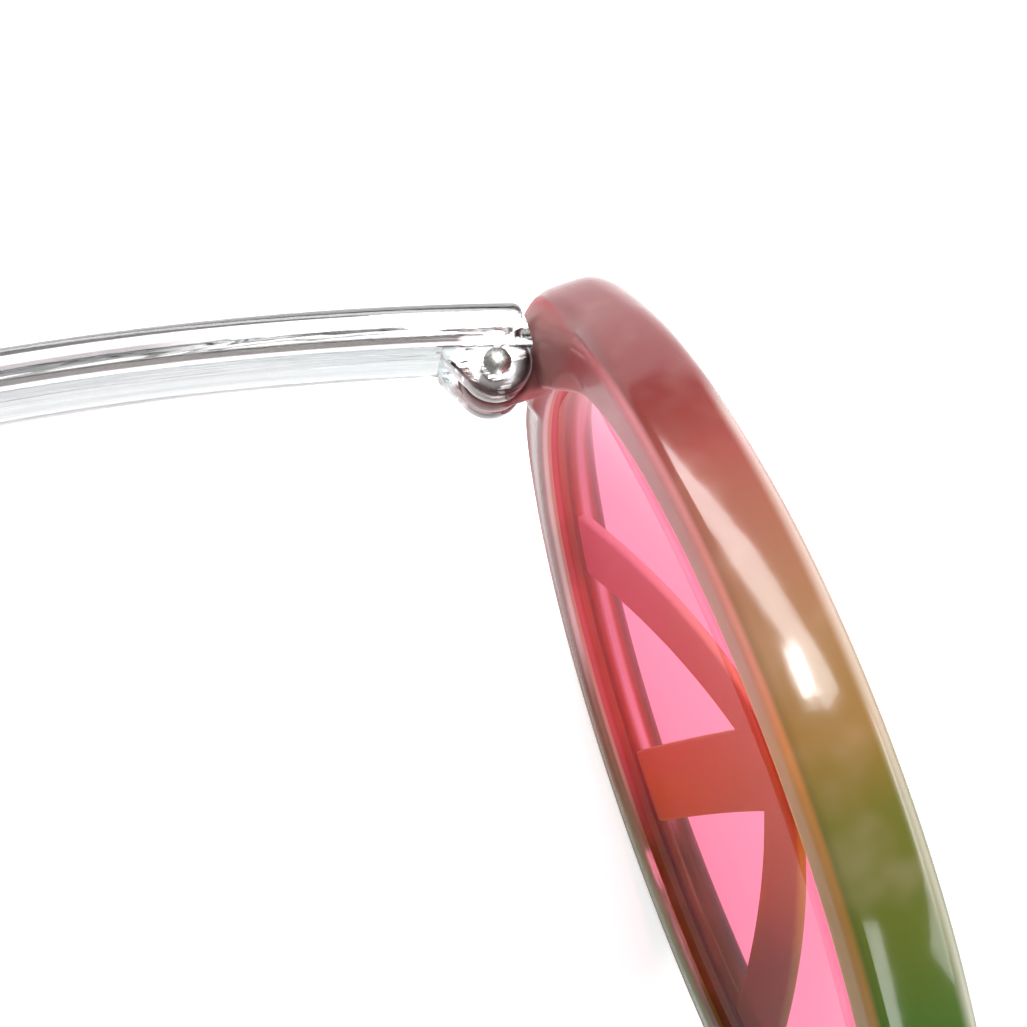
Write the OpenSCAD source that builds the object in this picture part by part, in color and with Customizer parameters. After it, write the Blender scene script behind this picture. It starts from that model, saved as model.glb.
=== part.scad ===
// Round sunglasses with a moulded peace-sign front, tinted lenses and clear folding temples.
// Millimetres. The front faces -Y, +X is the wearer's left, +Z is up, and the glasses stand
// open on Z = 0 on the two rims and the two temple tips. X = 0 is the plane of symmetry.

/* [Rims] */
// Radius of the round opening in front of each lens
opening_r = 25.9; // [20:0.1:28]
// Width of the rim, from the opening to its outer edge
rim_w = 3.6; // [3:0.1:5]
// Depth of the rim, front to back
rim_depth = 4.9; // [4.2:0.1:7]
// Radius of the large roundings on the rim's section
rim_round = 1.5; // [0.8:0.1:1.7]
// Distance between the centres of the two rims
eye_spacing = 74; // [64:0.5:84]
// Angle by which each rim is swept back towards its temple
wrap_angle = 6; // [0:0.5:10]

/* [Lenses and peace-sign bars] */
// Radius of the spherical curve that the lenses and bars follow
base_curve_r = 85; // [60:1:160]
// Thickness of a lens
lens_t = 1.1; // [0.9:0.1:2.2]
// Depth of the groove that holds the lens, outside the opening
groove_depth = 1.0; // [0.6:0.1:1.4]
// Thickness of the lip behind the lens
rear_lip_t = 0.66; // [0.6:0.02:1.2]
// Width of a bar of the peace sign
bar_w = 5.5; // [3:0.1:8]
// Thickness of the bars
bar_t = 0.85; // [0.6:0.05:1.4]
// Angle of the two lower bars from the upright one
bar_angle = 45; // [35:1:55]
// Radius in the corners of the windows between the bars
window_round = 0.5; // [0.2:0.1:1.2]

/* [Bridge and nose pads] */
// Radius of the bridge's arch, at its middle line
bridge_r = 10; // [8.5:0.1:12]
// Height of the arch's centre above the centres of the rims
bridge_up = 2; // [0:0.5:5]
// Height of the bridge's section
bridge_h = 4; // [3:0.1:5]
// Depth of the bridge's section, front to back
bridge_d = 4; // [3:0.1:4.4]
// Distance that the nose pads reach behind the rims
pad_reach = 5; // [3:0.5:8]
// Thickness of a nose pad
pad_t = 2.4; // [1.8:0.1:3.2]

/* [End pieces and hinges] */
// Distance that the end piece reaches outside the rim
lug_out = 0.95; // [0.5:0.05:3]
// Height of the end piece
lug_h = 12; // [10:0.5:16]
// Distance of the joint face behind the rim
joint_back = 0.95; // [0.6:0.05:3]
// Height of the hinge's middle above the centre of the rim
hinge_up = 3.9; // [0:0.1:8]
// Diameter of the hinge barrel
barrel_d = 4.1; // [3.6:0.1:5]
// Height of each of the three knuckles
knuckle_h = 2.3; // [1.6:0.1:2.6]
// Diameter of the hinge pin
pin_d = 1.6; // [1:0.1:2]
// Distance of the pin's axis from the temple's inner face
pin_inset = 0.77; // [0.6:0.01:1.2]

/* [Temples] */
// Thickness of a temple
temple_t = 2.5; // [2.2:0.1:4]
// Height of a temple at its hinge
temple_h = 9.2; // [8.4:0.1:12]
// Height of a temple at its waist, in front of the ear
waist_h = 6.5; // [4:0.1:8]
// Height of a temple's tip
tip_h = 8; // [5:0.1:10]
// Length of a temple from its hinge pin to the start of the ear bend
temple_run = 86; // [70:1:100]
// Radius of the ear bend
ear_bend_r = 30; // [20:1:45]
// Angle of the ear bend
ear_bend_angle = 42; // [32:1:52]
// Angle at which a temple leaves its hinge, outwards from straight back
splay_angle = 10; // [4:0.5:14]
// Length over which the splay bows back to straight
bow_run = 32; // [20:1:50]
// Angle at which the tip points in towards the head
toe_in_angle = 5; // [0:0.5:9]
// Radius along a temple's long edges
temple_round = 0.6; // [0.3:0.05:0.9]

/* [Fits] */
// Clearance round a lens in its seat
lens_fit = 0.12; // [0.08:0.01:0.2]
// Radial clearance of the pin in the front's knuckle
running_fit = 0.05; // [0.03:0.01:0.09]
// Radial clearance of the pin where the temple holds it
held_fit = 0.01; // [0.01:0.01:0.03]
// Gap between neighbouring knuckles, and at the joint face
joint_gap = 0.1; // [0.06:0.01:0.2]

/* [Hidden] */
$fn = 96;

// Depth of the base curve at a distance from its axis, and its sphere's centre lies behind the vertex
function sag(r) = base_curve_r - sqrt(pow(base_curve_r, 2) - pow(r, 2));

// A rim in its own frame: X outwards to the temple, Y up, Z forward, Z = 0 at the back of the bars
rim_r = opening_r + rim_w;
lip_show = 0.3;
wall_r = opening_r + lip_show;
groove_r = opening_r + groove_depth;
lens_r = groove_r - 2 * lens_fit;
groove_back = -sag(groove_r) - lens_t - 2 * lens_fit;
rim_back = groove_back - rear_lip_t;
rim_front = rim_back + rim_depth;
groove_front = -sag(groove_r) + bar_t / 2;
sheet_r = groove_r + 0.4 * (rim_r - groove_r);
small_round = 0.35 * rim_round;
hull_steps = 16;

// The hinge, seen from the rim's frame
lug_r = rim_r + lug_out;
joint_z = rim_back - joint_back;
barrel_r = barrel_d / 2;
pin_r = pin_d / 2;
butt_back = barrel_r + 0.1;
pin_to_joint = butt_back + joint_gap;
leave_angle = splay_angle + wrap_angle;
pin_x = lug_r - (pin_inset + temple_t) / cos(leave_angle) + pin_to_joint * tan(leave_angle);
pin_z = joint_z - pin_to_joint;
barrel_h = 3 * knuckle_h + 2 * joint_gap;
barrel_low = hinge_up - barrel_h / 2;
pin_proud = 0.2;

// Temple, measured from the hinge pin: Y backwards, Z up from the hinge's middle
tip_r = tip_h / 2;
rim_height = rim_r;
hinge_z = rim_height + hinge_up;
bend_y = temple_run + ear_bend_r * sin(ear_bend_angle);
bend_drop = ear_bend_r * (1 - cos(ear_bend_angle));
tip_run = (hinge_z - tip_r - bend_drop) / sin(ear_bend_angle);
tip_y = bend_y + tip_run * cos(ear_bend_angle);
bend_len = ear_bend_r * ear_bend_angle * PI / 180;
path_len = temple_run + bend_len + tip_run;
path_offset = pin_inset + temple_t / 2;

// Place of the front, so that the middle of the glasses' length is at Y = 0
front_reach = -(rim_r - rim_round) * sin(wrap_angle) - (rim_front - rim_round) * cos(wrap_angle) - rim_round;
pin_back = pin_x * sin(wrap_angle) - pin_z * cos(wrap_angle);
back_reach = pin_back + tip_y + tip_r;
eye_x = eye_spacing / 2;
eye_y = -(front_reach + back_reach) / 2;
hinge_x = eye_x + pin_x * cos(wrap_angle) + pin_z * sin(wrap_angle);
hinge_y = eye_y + pin_back;

// Turns a rim's own frame into its place on the wearer's left
module at_left_rim() {
    translate([eye_x, eye_y, rim_height]) rotate([0, 0, wrap_angle]) rotate([90, 0, 0]) children();
}

// The hinge's frame: X outwards, Y backwards, Z up, on the pin's axis at the hinge's middle
module at_left_hinge() {
    translate([hinge_x, hinge_y, hinge_z]) rotate([0, 0, wrap_angle]) children();
}

module both_sides() {
    children();
    mirror([1, 0, 0]) children();
}

// Outer outline of the rim's section, radius along X and depth along Y, with true arcs at its corners
module rim_outline() {
    corners = [[wall_r, rim_front, rim_round, 1, -1], [rim_r, rim_front, rim_round, -1, -1],
               [rim_r, rim_back, rim_round, -1, 1], [wall_r, rim_back, small_round, 1, 1]];
    polygon([for (i = [0 : 3]) each let (c = corners[i], along = [c[0], c[1] + c[4] * c[2]], across = [c[0] + c[3] * c[2], c[1]])
        i % 2 == 0 ? [along, across] : [across, along]]);
    for (c = corners) translate([c[0] + c[3] * c[2], c[1] + c[4] * c[2]]) circle(r = c[2]);
}

// Part of the base curve's shell between two radii, from one height over the curve to another
module curved_strip(low, high, from_r, to_r) {
    intersection() {
        translate([0, -base_curve_r]) difference() {
            circle(r = base_curve_r + high, $fn = 720);
            circle(r = base_curve_r + low, $fn = 720);
        }
        translate([from_r, -base_curve_r / 2]) square([to_r - from_r, base_curve_r]);
    }
}

// One rim in one turn: its section, the groove for the lens, and the lip in front of the lens
module rim_ring() {
    rotate_extrude() {
        difference() {
            rim_outline();
            translate([0, groove_back]) square([groove_r, groove_front - groove_back]);
        }
        curved_strip(0, bar_t, opening_r, sheet_r);
    }
}

// Disc of a shell on the base curve, from one height over the curve to another
module dome(low, high, radius) {
    rotate_extrude() curved_strip(low, high, 0, radius);
}

// Bars of the peace sign, curved with the lens and long enough to run into the lip
module peace_bars() {
    bar_end = (opening_r + wall_r) / 2;
    intersection() {
        dome(0, bar_t, bar_end);
        translate([0, 0, -4 * rim_depth]) linear_extrude(8 * rim_depth) {
            square([bar_w, 4 * rim_r], center = true);
            for (side = [-1, 1]) rotate(side * bar_angle)
                translate([-bar_w / 2, -2 * rim_r]) square([bar_w, 2 * rim_r]);
        }
    }
}

// Space that the end piece and the bridge leave free inside a rim, a little larger than the rim's own
module eye_cavity() {
    far = 4 * rim_depth;
    spare = 0.15;
    rotate_extrude() {
        translate([0, -far]) square([wall_r + spare, 2 * far]);
        translate([0, groove_back - spare]) square([groove_r + spare, groove_front - groove_back + 2 * spare]);
    }
}

// End piece: a smooth block that grows out of the rim's outer edge and carries the joint face
module end_piece() {
    round_out = 1.65;
    round_front = 1.75;
    round_joint = 1;
    rim_ball = 1.6;
    high = hinge_up + lug_h / 2;
    low = hinge_up - lug_h / 2;
    rim_mid = rim_r - rim_ball;
    hull() {
        for (y = [high - round_front, low + round_front]) {
            translate([lug_r - round_front, y, rim_front + 0.3 - round_front]) sphere(r = round_front, $fn = hull_steps);
            translate([lug_r - round_out, y * 0.8 + hinge_up * 0.2, joint_z + round_out])
                sphere(r = round_out, $fn = hull_steps);
            translate([pin_x - barrel_r + round_joint, y * 0.8 + hinge_up * 0.2, joint_z + round_joint])
                sphere(r = round_joint, $fn = hull_steps);
        }
        for (a = [45, -30]) rotate(a) translate([rim_mid + 0.2, 0, rim_front - rim_ball - 0.1])
            sphere(r = rim_ball, $fn = hull_steps);
    }
}

// Nose pad: a thin fin moulded on the back of the rim, leaning in towards the nose
module nose_pad() {
    ball = pad_t / 2;
    root = groove_r + ball + 0.3;
    hull() {
        for (a = [187, 217]) rotate(a) translate([root, 0, rim_back + ball + 0.1]) sphere(r = ball, $fn = hull_steps);
        for (a = [194, 211]) rotate(a) translate([root + 1, 0, rim_back - pad_reach + ball])
            sphere(r = ball, $fn = hull_steps);
    }
}

// Bridge: part of a rounded ring that arches over the nose and ends inside the rims
module bridge() {
    edge = 1.3;
    start = 3;
    depth_mid = (rim_front + rim_back) / 2;
    mid_y = eye_y - rim_r * sin(wrap_angle) - depth_mid * cos(wrap_angle) + 0.1;
    translate([0, mid_y, rim_height + bridge_up]) rotate([90, 0, 0]) rotate([0, 0, start])
        rotate_extrude(angle = 180 - 2 * start) translate([bridge_r, 0]) rounded_rect(bridge_h, bridge_d, edge);
}

// Rectangle about the origin with true arcs at its corners
module rounded_rect(w, h, r) {
    square([w, h - 2 * r], center = true);
    square([w - 2 * r, h], center = true);
    for (x = [-1, 1], y = [-1, 1]) translate([x * (w / 2 - r), y * (h / 2 - r)]) circle(r = r);
}

// Front knuckle, between the temple's two, with the arm that joins it to the end piece
module front_knuckle() {
    arm_in = barrel_r * 0.96;
    arm_out = barrel_r * 0.6;
    translate([0, 0, -knuckle_h / 2]) {
        cylinder(r = barrel_r, h = knuckle_h);
        translate([-arm_in, -pin_to_joint - 0.8, 0]) cube([arm_in + arm_out, pin_to_joint + 0.8, knuckle_h]);
    }
}

module front_frame() {
    color([0.70, 0.47, 0.38]) difference() {
        union() {
            both_sides() at_left_rim() {
                rim_ring();
                peace_bars();
                nose_pad();
                difference() {
                    end_piece();
                    eye_cavity();
                }
            }
            difference() {
                bridge();
                both_sides() at_left_rim() eye_cavity();
            }
            both_sides() at_left_hinge() front_knuckle();
        }
        both_sides() at_left_hinge() cylinder(r = pin_r + running_fit, h = barrel_h, center = true);
    }
}

module lens() {
    color([0.98, 0.60, 0.71, 0.6]) dome(-lens_fit - lens_t, -lens_fit, lens_r);
}

module left_lens() {
    at_left_rim() lens();
}

module right_lens() {
    mirror([1, 0, 0]) left_lens();
}

// Straight, ear bend and tip of a temple, as [y, z, pitch] at a length along it
function side_path(s) =
    s < temple_run ? [s, 0, 0]
    : s < temple_run + bend_len
        ? let (a = (s - temple_run) / ear_bend_r * 180 / PI)
          [temple_run + ear_bend_r * sin(a), -ear_bend_r * (1 - cos(a)), a]
    : let (t = s - temple_run - bend_len)
      [bend_y + t * cos(ear_bend_angle), -bend_drop - t * sin(ear_bend_angle), ear_bend_angle];

// Bow of a temple seen from above: outwards from the hinge, back to straight, then in to the tip
splay_slope = tan(splay_angle);
toe_slope = tan(toe_in_angle);
toe_run = tip_y - bow_run;
function bow_x(y) =
    y < bow_run ? splay_slope * (y - y * y / (2 * bow_run))
    : splay_slope * bow_run / 2 - toe_slope * pow(y - bow_run, 2) / (2 * toe_run);
function bow_heading(y) =
    y < bow_run ? atan(splay_slope * (1 - y / bow_run)) : -atan(toe_slope * (y - bow_run) / toe_run);

// Height of a temple along its length: full at the hinge, a waist before the ear, wider at the tip
function ease(x) = (1 - cos(180 * min(1, max(0, x)))) / 2;
full_run = 0.5 * temple_run;
function height_at(s) =
    s < temple_run ? temple_h + (waist_h - temple_h) * ease((s - full_run) / (temple_run - full_run))
    : waist_h + (tip_h - waist_h) * ease((s - temple_run) / (path_len - temple_run));

// One section of a temple: a rectangle with rounded corners, thinner on its outer side by cut
corner_steps = 2;
function section(half_t, half_h, r, cut) =
    [for (q = [[1, 1, 0], [-1, 1, 90], [-1, -1, 180], [1, -1, 270]], i = [0 : corner_steps])
        let (a = q[2] + 90 * i / corner_steps, side = q[0] > 0 ? half_t - cut : half_t)
        [q[0] * (side - r) + r * cos(a), q[1] * (half_h - r) + r * sin(a)]];

// Places a flat section at a length along the temple, square to its path
function placed(points, s) =
    let (p = side_path(s), h = bow_heading(p[0]), x = path_offset / cos(splay_angle) + bow_x(p[0]),
         out = [cos(h), -sin(h), 0], up = [sin(h) * sin(p[2]), cos(h) * sin(p[2]), cos(p[2])])
    [for (q = points) [x, p[0], p[1]] + q[0] * out + q[1] * up];

// The rounded outer corner at the joint: how much thinner the section is, t from the end
corner_r = 1.2;
end_run = ((pin_inset + temple_t) * sin(leave_angle) - butt_back) / cos(leave_angle);
start_s = end_run * cos(splay_angle) - path_offset * sin(splay_angle);
function corner_cut(t) = t >= corner_r ? 0 : corner_r - sqrt(pow(corner_r, 2) - pow(corner_r - max(t, 0), 2));

// Lengths at which the sections stand: the corner, the bowed run, the ear bend, the tip and its round end
run_s = start_s + corner_r;
count_run = 8;
count_bend = 6;
count_tip = 4;
stations = concat(
    [start_s - 2],
    [for (a = [0 : 24 : 72]) start_s + corner_r * (1 - cos(a))],
    [for (i = [0 : count_run - 1]) run_s + (temple_run - run_s) * i / count_run],
    [for (i = [0 : count_bend - 1]) temple_run + bend_len * i / count_bend],
    [for (i = [0 : count_tip]) temple_run + bend_len + tip_run * i / count_tip]);
end_angles = [22, 42, 60, 76];

function temple_rings() = concat(
    [for (s = stations)
        let (half = height_at(s) / 2)
        placed(section(temple_t / 2, half, temple_round, corner_cut(s - start_s)), s)],
    [for (a = end_angles)
        let (half = tip_r * cos(a), thick = temple_t / 2 * (0.45 + 0.55 * cos(a)), r = min(temple_round, 0.9 * half, 0.9 * thick))
        placed(section(thick, half, r, 0), path_len + tip_r * sin(a))]);

// Skin over a list of rings with equal counts of points, closed by a flat face at each end
module skin(rings) {
    n = len(rings[0]);
    last = len(rings) - 1;
    polyhedron(
        points = [for (r = rings) each r],
        faces = concat(
            [[for (i = [n - 1 : -1 : 0]) i]],
            [for (k = [0 : last - 1], i = [0 : n - 1]) let (j = (i + 1) % n)
                each [[k * n + i, k * n + j, (k + 1) * n + i], [k * n + j, (k + 1) * n + j, (k + 1) * n + i]]],
            [[for (i = [0 : n - 1]) last * n + i]]),
        convexity = 6);
}

// One of the temple's knuckles with the web that ties it to the bar, standing on Z = 0
module temple_knuckle() {
    web_x = pin_inset + temple_t / 2;
    web_front = 0.8 * barrel_r;
    web_back = barrel_r * 1.55;
    edge = 0.35;
    rotate_extrude() {
        square([barrel_r - edge, knuckle_h]);
        translate([0, edge]) square([barrel_r, knuckle_h - 2 * edge]);
        for (z = [edge, knuckle_h - edge]) translate([barrel_r - edge, z]) circle(r = edge);
    }
    linear_extrude(knuckle_h) polygon([[0, -web_front], [web_x, -web_front], [web_x + 0.5, web_back + 0.6],
                                       [pin_inset + 0.5, web_back + 0.6], [-0.5 * barrel_r, 0.7 * barrel_r]]);
}

module left_temple() {
    gap_r = barrel_r + joint_gap;
    gap_h = knuckle_h + 1.9 * joint_gap;
    half = barrel_h / 2;
    far = 2 * temple_h;
    slot_x = 0.8 * gap_r;
    color([0.90, 0.93, 0.94, 0.45]) at_left_hinge() difference() {
        union() {
            difference() {
                rotate([0, 0, -wrap_angle]) skin(temple_rings());
                translate([-far / 2, -butt_back - far, -far / 2]) cube(far);
                cylinder(r = gap_r, h = gap_h, center = true);
                translate([-slot_x, -far, -gap_h / 2]) cube([2 * slot_x, far, gap_h]);
            }
            translate([0, 0, half - knuckle_h]) temple_knuckle();
            translate([0, 0, -half]) temple_knuckle();
        }
        cylinder(r = pin_r + held_fit, h = 2 * barrel_h, center = true);
    }
}

module right_temple() {
    mirror([1, 0, 0]) left_temple();
}

// Hinge pin with a low round end above and below
module left_hinge_pin() {
    half = barrel_h / 2;
    dome_r = (pow(pin_r, 2) + pow(pin_proud, 2)) / (2 * pin_proud);
    color("silver") at_left_hinge() rotate_extrude() {
        translate([0, -half]) square([pin_r, barrel_h]);
        for (end = [-1, 1]) intersection() {
            translate([0, end * (half + pin_proud - dome_r)]) circle(r = dome_r);
            translate([0, end * half - pin_proud]) square([pin_r, 2 * pin_proud]);
        }
    }
}

module right_hinge_pin() {
    mirror([1, 0, 0]) left_hinge_pin();
}

front_frame();
left_lens();
right_lens();
left_temple();
right_temple();
left_hinge_pin();
right_hinge_pin();
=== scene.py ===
"""Round sunglasses with a moulded peace-sign front, tinted lenses and clear folding temples.

Every shape is worked out in millimetres, in the frame of the rim or hinge that it belongs to, and is
then turned into the row frame in metres. The front faces -Y, +X is the wearer's left and +Z is up.
"""

import logging
import math
from dataclasses import dataclass, field
from enum import Enum
from typing import Any, Callable, Sequence

import bpy
import numpy as np
from mathutils import Matrix, Vector

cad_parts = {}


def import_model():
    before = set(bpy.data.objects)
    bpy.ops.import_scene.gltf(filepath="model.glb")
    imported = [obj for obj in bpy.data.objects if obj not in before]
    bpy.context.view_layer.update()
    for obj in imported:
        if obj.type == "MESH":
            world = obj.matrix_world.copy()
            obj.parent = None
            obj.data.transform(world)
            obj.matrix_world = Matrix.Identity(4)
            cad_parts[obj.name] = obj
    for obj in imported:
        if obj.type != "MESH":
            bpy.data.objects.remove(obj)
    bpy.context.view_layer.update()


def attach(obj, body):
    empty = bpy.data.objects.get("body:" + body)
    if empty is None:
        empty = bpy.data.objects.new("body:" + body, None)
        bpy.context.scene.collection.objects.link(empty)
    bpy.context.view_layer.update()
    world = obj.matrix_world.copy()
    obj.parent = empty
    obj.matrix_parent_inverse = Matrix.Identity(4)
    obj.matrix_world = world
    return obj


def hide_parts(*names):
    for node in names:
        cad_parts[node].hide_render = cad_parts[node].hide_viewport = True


log = logging.getLogger("sunglasses")

Array = np.ndarray
Place = Callable[[Array], Array]
Value = Any
Pair = tuple[float, float]
Triple = tuple[float, float, float]
Stops = Sequence[tuple[float, Triple]]

# Sizes in mm that several pieces share, with places on the wearer's left half
MM = 0.001
WRAP = math.radians(6.0)
EYE_X, EYE_Y, RIM_HEIGHT = 37.0, -72.5524, 29.5
HINGE_X, HINGE_Y, HINGE_Z = 63.5415, -60.1413, 33.4
CURVE_R = 85.0
OPENING_R, WALL_R = 25.9, 26.2
RIM_BACK = -6.369
BARREL_R, PIN_R = 2.05, 0.8
SPLAY, BOW_RUN = math.radians(10.0), 32.0
TEMPLE_THICK, TEMPLE_INSET = 2.5, 0.77


class Side(Enum):
    """The wearer's left or right half, as the sign of X."""

    LEFT = 1.0
    RIGHT = -1.0

    @property
    def label(self) -> str:
        """Name used at the start of a piece's name."""
        return self.name.lower()


def smooth(t: Array) -> Array:
    """Smooth step from 0 to 1: three t squared less two t cubed, held flat outside."""
    t = np.clip(t, 0.0, 1.0)
    return t * t * (3.0 - 2.0 * t)


def ease(t: Array) -> Array:
    """Half a wave from 0 to 1: one less the cosine of pi times t, halved, held flat outside."""
    return (1 - np.cos(np.pi * np.clip(t, 0, 1))) / 2


def signed_power(q: Array, power: float) -> Array:
    """Power of a number's size, with the number's own sign."""
    return np.sign(q) * np.abs(q) ** power


def hill(q: Array, rise: Pair, fall: Pair) -> Array:
    """Smooth step up times one less a smooth step down.

    Args:
        q: where to read it.
        rise: start and length of the way up.
        fall: start and length of the way down.

    Returns:
        The height, from 0 to 1.
    """
    return smooth((q - rise[0]) / rise[1]) * (1 - smooth((q - fall[0]) / fall[1]))


def sag(radius: float, *offsets: Array) -> Array:
    """Depth of a sphere below its top: its radius less the root of its square less the offsets' squares.

    Args:
        radius: the sphere's radius.
        offsets: distances from its axis, along one direction or two.

    Returns:
        The depth at each point.
    """
    rest = radius ** 2
    for offset in offsets:
        rest = rest - offset * offset
    return radius - np.sqrt(rest)


def at_row(p: Array) -> Array:
    """Turns points of the row frame from mm into metres."""
    return p * MM


def at_rim(side: Side) -> Place:
    """Gives the map from a rim's own frame to the row frame.

    Args:
        side: which rim.

    Returns:
        A function from points (u out, v up, n forward, mm) to row points in metres: u runs along the
        swept-back rim, n along its normal, and a right-hand point has its X turned over.
    """

    def place(p: Array) -> Array:
        u, v, n = p[..., 0], p[..., 1], p[..., 2]
        x = EYE_X + u * math.cos(WRAP) + n * math.sin(WRAP)
        y = EYE_Y + u * math.sin(WRAP) - n * math.cos(WRAP)
        return np.stack([x * side.value, y, RIM_HEIGHT + v], -1) * MM

    return place


def at_hinge(side: Side, turned: bool = True) -> Place:
    """Gives the map from a hinge's frame to the row frame.

    Args:
        side: which hinge.
        turned: whether the frame is swept back with the rim; the temple's own path is not.

    Returns:
        A function from points (x out, y back, z up, mm, from the pin's middle) to row points in metres.
    """
    a = WRAP if turned else 0.0

    def place(p: Array) -> Array:
        x = HINGE_X + p[..., 0] * math.cos(a) - p[..., 1] * math.sin(a)
        y = HINGE_Y + p[..., 0] * math.sin(a) + p[..., 1] * math.cos(a)
        return np.stack([x * side.value, y, HINGE_Z + p[..., 2]], -1) * MM

    return place


@dataclass
class Shell:
    """A closed surface: a grid of points whose columns wrap, with its ends wrapped, capped or pinched.

    Args:
        points: rows by columns by 3, in mm.
        ring: whether the rows wrap too, as on a torus.
    """

    points: Array
    ring: bool = False

    def build(self, name: str, place: Place) -> bpy.types.Object:
        """Makes the mesh object, with faces turned outwards by the sign of its volume.

        Args:
            name: the object's name.
            place: the map into the row frame.

        Returns:
            The new object at the origin, with its place in its mesh.
        """
        rows, cols = self.points.shape[:2]
        co = place(self.points).reshape(-1, 3)
        last = rows if self.ring else rows - 1
        i, j = np.meshgrid(np.arange(last), np.arange(cols), indexing="ij")
        nxt, right = (i + 1) % rows, (j + 1) % cols
        quads = np.stack([i * cols + j, i * cols + right, nxt * cols + right, nxt * cols + j], -1)
        faces = quads.reshape(-1, 4).tolist()
        if not self.ring:
            faces.append(list(range(cols))[::-1])
            faces.append(list(range((rows - 1) * cols, rows * cols)))
        return mesh_object(name, co, faces)


def add_object(name: str, data: Any) -> bpy.types.Object:
    """Makes an object of a mesh, a camera or a lamp and links it to the scene."""
    obj = bpy.data.objects.new(name, data)
    bpy.context.scene.collection.objects.link(obj)
    return obj


def mesh_object(name: str, co: Array, faces: list[list[int]]) -> bpy.types.Object:
    """Makes a mesh object from points and faces that close, and turns its faces outwards.

    The sign of the volume tells which way they face: the sum, over fans of triangles, of each corner's
    product with the other two, from the middle of the points.

    Args:
        name: the object's name.
        co: points in metres.
        faces: lists of point numbers, all wound the same way round the solid.

    Returns:
        The new object, linked to the scene.
    """
    first = np.concatenate([np.full(len(f) - 2, f[0]) for f in faces])
    second = np.concatenate([f[1:-1] for f in faces])
    third = np.concatenate([f[2:] for f in faces])
    centre = co.mean(0)
    a, b, c = co[first] - centre, co[second] - centre, co[third] - centre
    if np.einsum("ij,ij->", a, np.cross(b, c)) < 0:
        faces = [f[::-1] for f in faces]
    mesh = bpy.data.meshes.new(name)
    mesh.from_pydata(co.tolist(), [], faces)
    mesh.validate()
    mesh.update()
    return add_object(name, mesh)


def combine(base: bpy.types.Object, steps: list[tuple[str, bpy.types.Object]]) -> bpy.types.Object:
    """Adds and cuts closed shapes in order, keeps the result in the base's mesh and removes the shapes.

    Args:
        base: the first shape.
        steps: pairs of UNION or DIFFERENCE and a shape.

    Returns:
        The base, with its new mesh and no modifiers.
    """
    for operation, tool in steps:
        cut = base.modifiers.new(operation.lower(), "BOOLEAN")
        cut.operation = operation
        cut.object = tool
        cut.solver = "MANIFOLD"
    graph = bpy.context.evaluated_depsgraph_get()
    result = bpy.data.meshes.new_from_object(base.evaluated_get(graph))
    base.modifiers.clear()
    old = base.data
    base.data = result
    result.name = base.name
    bpy.data.meshes.remove(old)
    result.materials.clear()
    result.polygons.foreach_set("material_index", np.zeros(len(result.polygons), np.int32))
    for _, tool in steps:
        bpy.data.meshes.remove(tool.data)
    return base


def dress(piece: bpy.types.Object, sharp_deg: float, material: bpy.types.Material) -> None:
    """Gives a piece its material and shades it smooth, apart from edges sharper than an angle.

    Args:
        piece: the piece.
        sharp_deg: the angle in degrees.
        material: the material.
    """
    piece.data.polygons.foreach_set("use_smooth", np.ones(len(piece.data.polygons), bool))
    piece.data.set_sharp_from_angle(angle=math.radians(sharp_deg))
    piece.data.materials.append(material)


def arc(cx: Array, cy: Array, r: Array, start: float, stop: float, steps: int) -> Array:
    """Points on a circular arc: centre plus radius times cosine and sine.

    Args:
        cx: centre's first coordinate, one per row.
        cy: centre's second coordinate, one per row.
        r: radius, one per row.
        start: first angle in degrees.
        stop: last angle in degrees.
        steps: how many points.

    Returns:
        Rows by steps by 2.
    """
    a = np.radians(np.linspace(start, stop, steps))[None, :]
    cx, cy, r = (np.atleast_1d(np.asarray(q, float))[:, None] for q in (cx, cy, r))
    return np.stack([cx + r * np.cos(a), cy + r * np.sin(a)], -1)


def joined(parts: list[Array], between: int) -> Array:
    """Joins arcs into one loop, with extra points on the straight lines between them.

    Args:
        parts: arcs in order, each rows by steps by 2.
        between: how many points to add on each line.

    Returns:
        Rows by points by 2, a closed loop in each row.
    """
    out = []
    t = np.linspace(0, 1, between + 2)[1:-1][None, :, None]
    for k, part in enumerate(parts):
        follow = parts[(k + 1) % len(parts)]
        out += [part, part[:, -1:] * (1 - t) + follow[:, :1] * t]
    return np.concatenate(out, 1)


def rounded_box(x0: Array, x1: Array, y0: Array, y1: Array, r: Array,
                steps: int = 7, between: int = 3) -> Array:
    """Section of a box with four round corners.

    Args:
        x0: low side along the first axis, one per row.
        x1: high side along the first axis.
        y0: low side along the second axis.
        y1: high side along the second axis.
        r: corner radius.
        steps: points in each corner.
        between: points on each straight side.

    Returns:
        Rows by points by 2.
    """
    rows = (np.atleast_1d(np.asarray(q, float)) for q in (x0, x1, y0, y1, r))
    x0, x1, y0, y1, r = np.broadcast_arrays(*rows)
    return joined([arc(x1 - r, y1 - r, r, 90, 0, steps), arc(x1 - r, y0 + r, r, 0, -90, steps),
                   arc(x0 + r, y0 + r, r, -90, -180, steps), arc(x0 + r, y1 - r, r, 180, 90, steps)], between)


def turned(profile: Array, steps: int = 64) -> Shell:
    """Turns a profile of radius and height about the Z axis, with a flat cap at each end.

    Args:
        profile: points of radius and height, from one end to the other.
        steps: columns round the axis.

    Returns:
        The closed surface: radius times cosine and sine, and the height.
    """
    a = np.linspace(0, 2 * math.pi, steps, endpoint=False)
    r, z = profile[:, 0][:, None], profile[:, 1][:, None]
    return Shell(np.stack([r * np.cos(a), r * np.sin(a), z + 0 * a], -1))


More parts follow.
